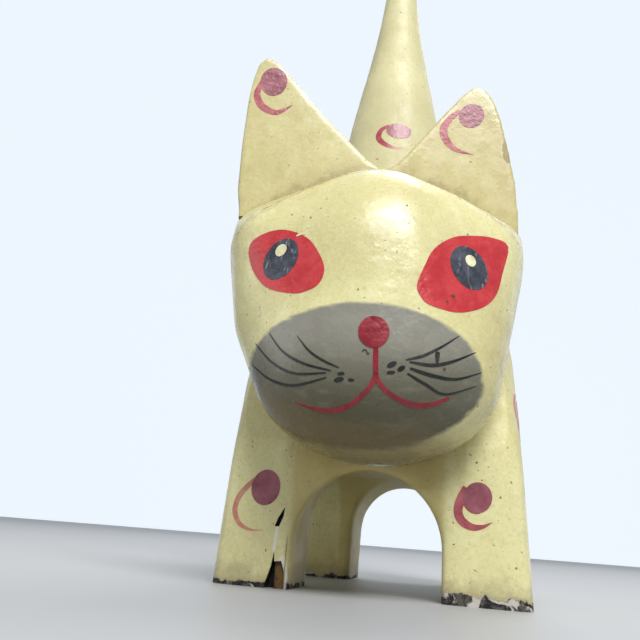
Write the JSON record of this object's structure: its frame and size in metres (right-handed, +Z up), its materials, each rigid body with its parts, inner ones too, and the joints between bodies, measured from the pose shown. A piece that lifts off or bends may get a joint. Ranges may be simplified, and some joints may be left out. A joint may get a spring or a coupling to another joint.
{
  "type": "carved wooden cat figure",
  "caption": "Standing folk-art cat carved from wood blocks, painted cream with red leaf-shaped eyes and dot-and-crescent marks; its ears and tail are pegged on.",
  "frame": {"origin": "on the plane of the soles, at the middle of the figure's outline", "axes": "the cat faces -Y, its left side is +X and +Z is up"},
  "size_m": [0.0693, 0.1171, 0.2353],
  "materials": {
    "painted_wood": "glossy enamel paint over a thin gesso ground, worn at the edges",
    "bare_wood": "plain turned and planed softwood",
    "bamboo": "split and scraped bamboo"
  },
  "bodies": {
    "figure": {"torso": "painted_wood", "head": "painted_wood", "front_right_leg": "painted_wood", "front_left_leg": "painted_wood", "hind_right_leg": "painted_wood", "hind_left_leg": "painted_wood", "front_right_dowel": "bare_wood", "front_left_dowel": "bare_wood", "hind_right_dowel": "bare_wood", "hind_left_dowel": "bare_wood", "neck_right_dowel": "bare_wood", "neck_left_dowel": "bare_wood"},
    "right_ear": {"ear_right": "painted_wood", "ear_right_pins": "bamboo"},
    "left_ear": {"ear_left": "painted_wood", "ear_left_pins": "bamboo"},
    "tail": {"tail": "painted_wood", "tail_peg": "bare_wood"}
  },
  "joints": [
    {"name": "right_ear_pull", "type": "slide", "parent": "figure", "child": "right_ear", "axis": [0, 0, 1], "range_m": [0, 0.012]},
    {"name": "left_ear_pull", "type": "slide", "parent": "figure", "child": "left_ear", "axis": [0, 0, 1], "range_m": [0, 0.012]},
    {"name": "tail_pull", "type": "slide", "parent": "figure", "child": "tail", "axis": [0, 0, 1], "range_m": [0, 0.028]}
  ]
}
